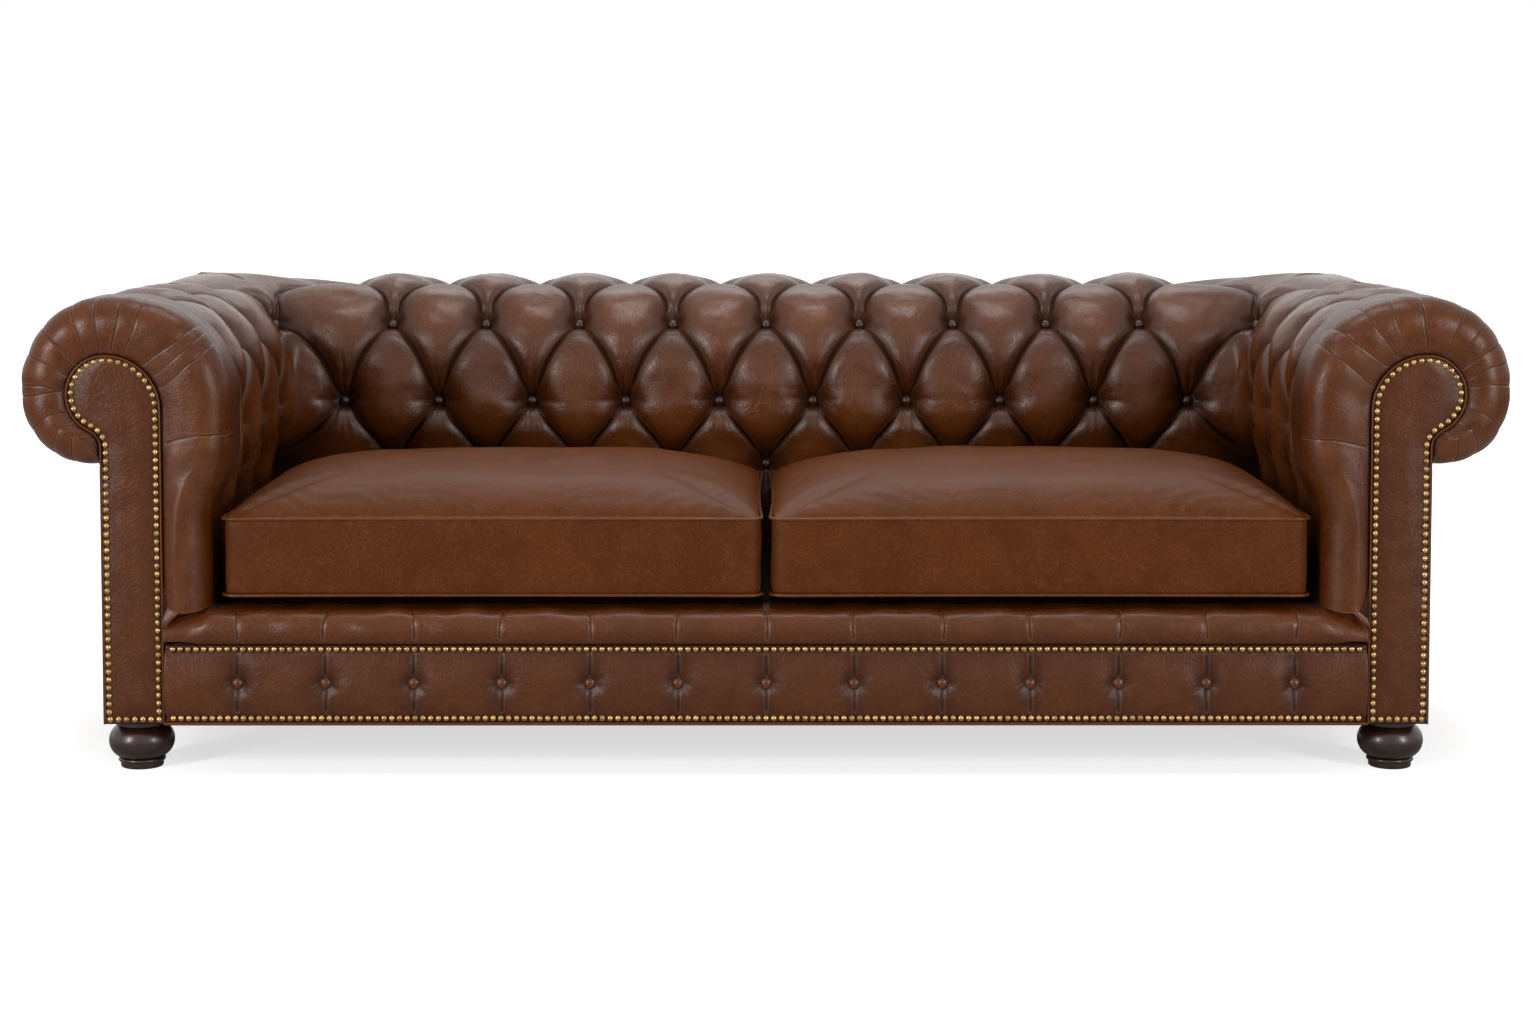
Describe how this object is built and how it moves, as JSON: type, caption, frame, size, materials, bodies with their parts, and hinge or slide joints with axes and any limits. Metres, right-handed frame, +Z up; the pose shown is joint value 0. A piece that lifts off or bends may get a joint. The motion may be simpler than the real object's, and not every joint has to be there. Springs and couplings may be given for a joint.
{
  "type": "chesterfield sofa",
  "caption": "Deep-buttoned scroll-arm sofa with back and arms of one height, loose boxed seat cushions, nailed facings and turned bun feet.",
  "frame": {"origin": "centre of the footprint on the floor", "axes": "+X along the sofa to the right seen from the front, -Y towards the front, +Z up"},
  "size_m": [2.3, 0.95, 0.7404],
  "materials": {
    "tufted_leather": "aged semi-gloss leather, deep buttoned",
    "button_leather": "dark covered buttons",
    "band_leather": "aged semi-gloss leather, smooth with pleats",
    "panel_leather": "aged leather, taut",
    "cushion_leather": "aged soft leather with fine creases",
    "piping_leather": "worn piping",
    "antique_brass": "antique, domed heads",
    "mahogany": "dark polished mahogany",
    "beech_frame": "sawn and planed beech",
    "spring_steel": "oiled spring wire and plated fixings",
    "foam": "open cell foam",
    "deck_cloth": "brown platform cloth",
    "hessian": "coarse jute",
    "webbing": "woven jute straps",
    "black_cloth": "spun black cloth"
  },
  "bodies": {
    "sofa": {"back_buttons": "button_leather", "back_inner_posts": "beech_frame", "back_roll_foam": "foam", "back_top_rail": "beech_frame", "back_tufted_cover": "tufted_leather", "border_buttons": "button_leather", "border_nails": "antique_brass", "border_piping": "piping_leather", "corner_blocks": "beech_frame", "dust_cover": "black_cloth", "facing_piping": "piping_leather", "foot_bolts": "spring_steel", "foot_tee_nuts": "spring_steel", "front_border": "panel_leather", "front_left_foot": "mahogany", "front_right_foot": "mahogany", "front_seat_rail": "beech_frame", "left_arm_buttons": "button_leather", "left_arm_front_band": "band_leather", "left_arm_front_board": "beech_frame", "left_arm_roll_foam": "foam", "left_arm_top_rail": "beech_frame", "left_arm_tufted_cover": "tufted_leather", "left_facing_nails": "antique_brass", "left_facing_panel": "panel_leather", "left_outside_panel": "panel_leather", "left_side_rail": "beech_frame", "outside_back_panel": "panel_leather", "rear_left_foot": "mahogany", "rear_posts": "beech_frame", "rear_right_foot": "mahogany", "rear_seat_rail": "beech_frame", "right_arm_buttons": "button_leather", "right_arm_front_band": "band_leather", "right_arm_front_board": "beech_frame", "right_arm_roll_foam": "foam", "right_arm_top_rail": "beech_frame", "right_arm_tufted_cover": "tufted_leather", "right_facing_nails": "antique_brass", "right_facing_panel": "panel_leather", "right_outside_panel": "panel_leather", "right_side_rail": "beech_frame", "seat_deck_pad": "deck_cloth", "seat_hessian": "hessian", "seat_lip": "band_leather", "seat_springs": "spring_steel", "seat_stretchers": "beech_frame", "spring_clips": "spring_steel", "stay_rails": "beech_frame", "webbing": "webbing"},
    "left_cushion": {"left_cushion_foam": "foam", "left_cushion_top": "cushion_leather", "left_cushion_border": "cushion_leather", "left_cushion_bottom": "cushion_leather", "left_cushion_piping": "piping_leather"},
    "right_cushion": {"right_cushion_foam": "foam", "right_cushion_top": "cushion_leather", "right_cushion_border": "cushion_leather", "right_cushion_bottom": "cushion_leather", "right_cushion_piping": "piping_leather"}
  },
  "joints": [
    {"name": "left_cushion_slide", "type": "slide", "parent": "sofa", "child": "left_cushion", "axis": [0, -1, 0], "range_m": [0, 0.7]},
    {"name": "right_cushion_slide", "type": "slide", "parent": "sofa", "child": "right_cushion", "axis": [0, -1, 0], "range_m": [0, 0.7]}
  ]
}
